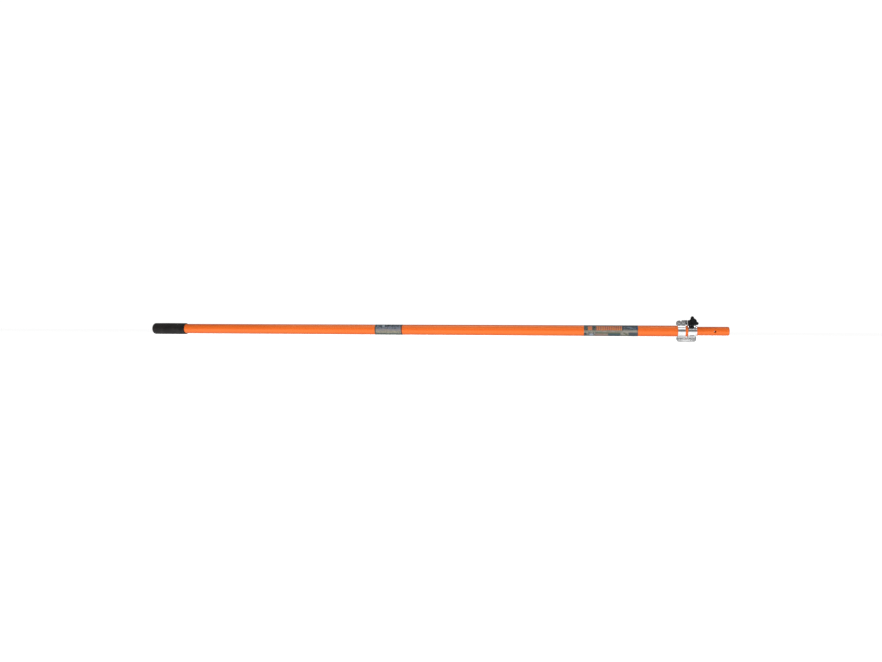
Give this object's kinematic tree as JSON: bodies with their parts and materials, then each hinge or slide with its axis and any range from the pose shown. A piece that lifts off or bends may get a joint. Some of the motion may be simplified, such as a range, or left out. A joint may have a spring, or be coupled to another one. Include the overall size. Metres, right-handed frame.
{
  "type": "roller extension pole",
  "caption": "Telescopic steel pole with a push-on grip, a two-band screw clamp and a plain cross-drilled tip for a roller or another pole tool.",
  "frame": {"origin": "centre of the flat butt face of the hand grip, on the pole's axis", "axes": "+X along the pole from butt to tip; +Z towards the clamp's ears; the clamp's knob faces -Y"},
  "size_m": [1.83, 0.0482, 0.074],
  "materials": {
    "orange_paint": "satin orange powder coat on steel tube",
    "grip_rubber": "matte black moulded",
    "label_film": "printed film, satin, dark slate ground",
    "plug_plastic": "moulded dark grey",
    "guide_plastic": "moulded off-white nylon",
    "clamp_chrome": "bright plated pressed steel",
    "zinc_steel": "bright zinc plate",
    "knob_plastic": "moulded black",
    "insert_brass": "turned"
  },
  "bodies": {
    "outer_pole": {"outer_tube": "orange_paint", "hand_grip": "grip_rubber", "butt_plug": "plug_plastic", "main_label": "label_film", "size_label": "label_film", "front_bush": "plug_plastic", "clamp_front_shell": "clamp_chrome", "clamp_rear_shell": "clamp_chrome", "band_bolt_1": "zinc_steel", "band_bolt_2": "zinc_steel", "band_washer_1": "zinc_steel", "band_washer_2": "zinc_steel", "band_lock_washer_1": "zinc_steel", "band_lock_washer_2": "zinc_steel", "band_nut_1": "zinc_steel", "band_nut_2": "zinc_steel", "shell_rivet_1": "zinc_steel", "shell_rivet_2": "zinc_steel", "knob_bolt": "zinc_steel"},
    "slider": {"rear_guide": "guide_plastic"},
    "inner_pole": {"inner_tube": "orange_paint", "inner_end_plug": "plug_plastic"},
    "washer": {"knob_washer": "zinc_steel"},
    "knob": {"clamp_knob": "knob_plastic", "knob_insert": "insert_brass"}
  },
  "joints": [
    {"name": "tube_slide", "type": "slide", "parent": "outer_pole", "child": "slider", "axis": [1, 0, 0], "range_m": [0, 1.5385]},
    {"name": "tube_turn", "type": "hinge", "parent": "slider", "child": "inner_pole", "pos_m": [0, 0, 0], "axis": [1, 0, 0], "continuous": true},
    {"name": "knob_travel", "type": "slide", "parent": "outer_pole", "child": "washer", "axis": [0, -1, 0], "range_m": [0, 0.00225]},
    {"name": "knob_turn", "type": "hinge", "parent": "washer", "child": "knob", "pos_m": [1.7289, 0, 0.02613], "axis": [0, -1, 0], "range_deg": [0, 815]}
  ],
  "couplings": [
    {"joint": "knob_turn", "follows": "knob_travel", "rad_per_m": 6283.2}
  ]
}
